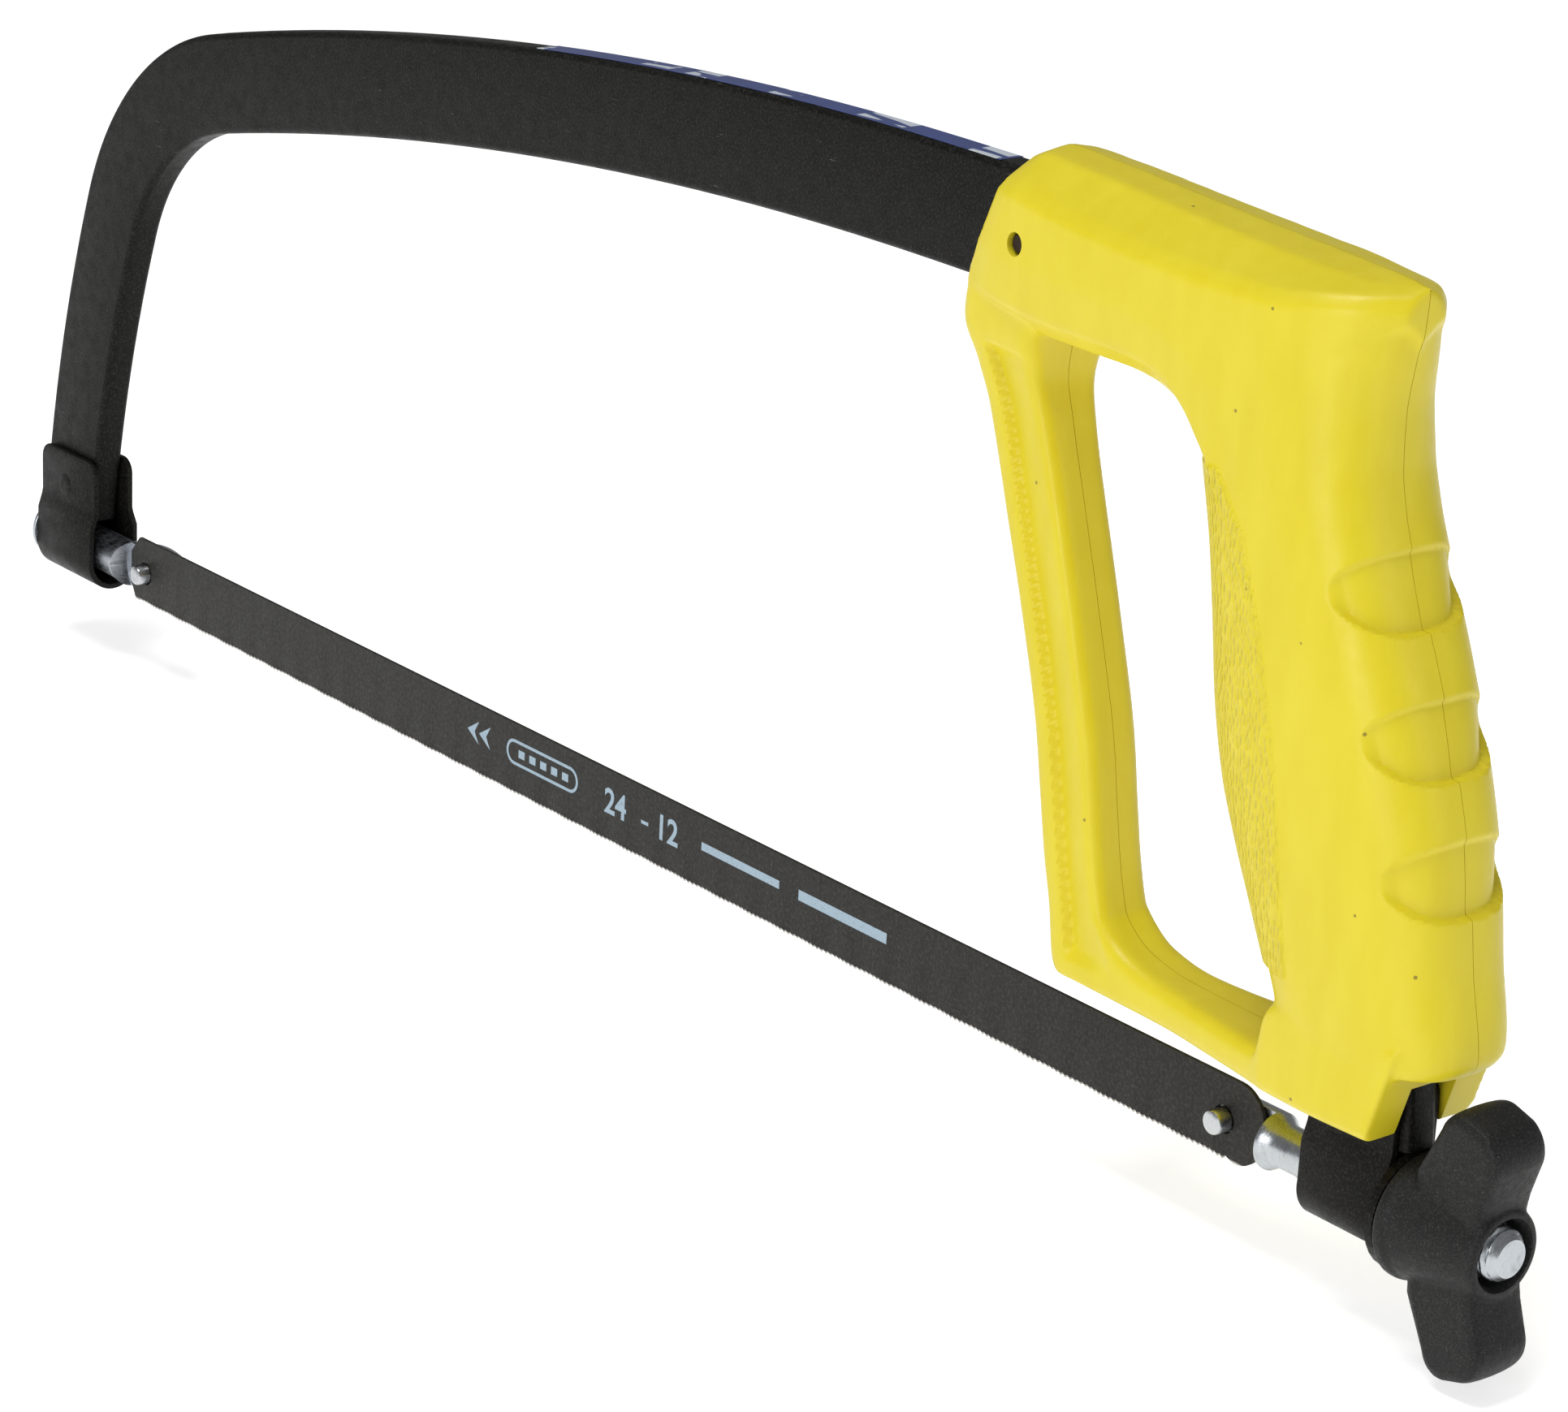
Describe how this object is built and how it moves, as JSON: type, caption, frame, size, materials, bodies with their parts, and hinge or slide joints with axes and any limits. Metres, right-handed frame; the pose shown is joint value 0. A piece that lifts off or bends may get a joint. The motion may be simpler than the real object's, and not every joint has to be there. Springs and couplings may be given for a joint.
{
  "type": "hacksaw",
  "caption": "Hand saw with an arched tube frame, an enclosed grip and a thin toothed blade hooked on two pins and pulled tight by a wing nut.",
  "frame": {"origin": "middle of the hand grip, on the saw's middle plane", "axes": "+X from the front of the saw towards the wing nut, -Y the side the blade pins stand out of, +Z from the blade up to the frame's spine"},
  "size_m": [0.393, 0.0264, 0.1531],
  "materials": {
    "frame_tube": "satin black powder coat",
    "front_saddle": "satin black powder coat",
    "front_saddle_rivet": "painted over",
    "front_stud": "zinc plated",
    "front_blade_pin": "bright",
    "blade": "brown-black lacquered carbon steel, bare tooth tips",
    "rear_blade_pin": "bright",
    "tension_bolt": "zinc plated",
    "rear_saddle": "satin black powder coat",
    "rear_saddle_rivet": "painted over",
    "thrust_washer": "blackened",
    "wing_nut": "moulded, fine grain",
    "wing_nut_insert": "zinc plated",
    "handle_left": "semi-gloss yellow",
    "handle_right": "semi-gloss yellow",
    "handle_pin": "dull"
  },
  "bodies": {
    "frame": {"frame_tube": "frame_tube", "front_saddle": "front_saddle", "front_saddle_rivet": "front_saddle_rivet", "rear_saddle": "rear_saddle", "rear_saddle_rivet": "rear_saddle_rivet", "thrust_washer": "thrust_washer", "handle_left": "handle_left", "handle_right": "handle_right", "handle_pin": "handle_pin"},
    "wing_nut": {"wing_nut": "wing_nut", "wing_nut_insert": "wing_nut_insert"},
    "tension": {"tension_bolt": "tension_bolt", "rear_blade_pin": "rear_blade_pin"},
    "front_stud": {"front_stud": "front_stud", "front_blade_pin": "front_blade_pin"},
    "blade": {"blade": "blade"}
  },
  "joints": [
    {"name": "wing_nut_turn", "type": "hinge", "parent": "frame", "child": "wing_nut", "pos_m": [0.028, 0, -0.064], "axis": [1, 0, 0], "range_deg": [0, 1440]},
    {"name": "tension_slide", "type": "slide", "parent": "frame", "child": "tension", "axis": [-1, 0, 0], "range_m": [0, 0.005]},
    {"name": "front_stud_slide", "type": "slide", "parent": "frame", "child": "front_stud", "axis": [-1, 0, 0], "range_m": [0, 0.005]},
    {"name": "blade_lift", "type": "slide", "parent": "tension", "child": "blade", "axis": [0, -1, 0], "range_m": [0, 0.008]}
  ],
  "couplings": [
    {"joint": "wing_nut_turn", "follows": "tension_slide", "rad_per_m": 5026.5},
    {"joint": "front_stud_slide", "follows": "tension_slide", "ratio": 1}
  ]
}
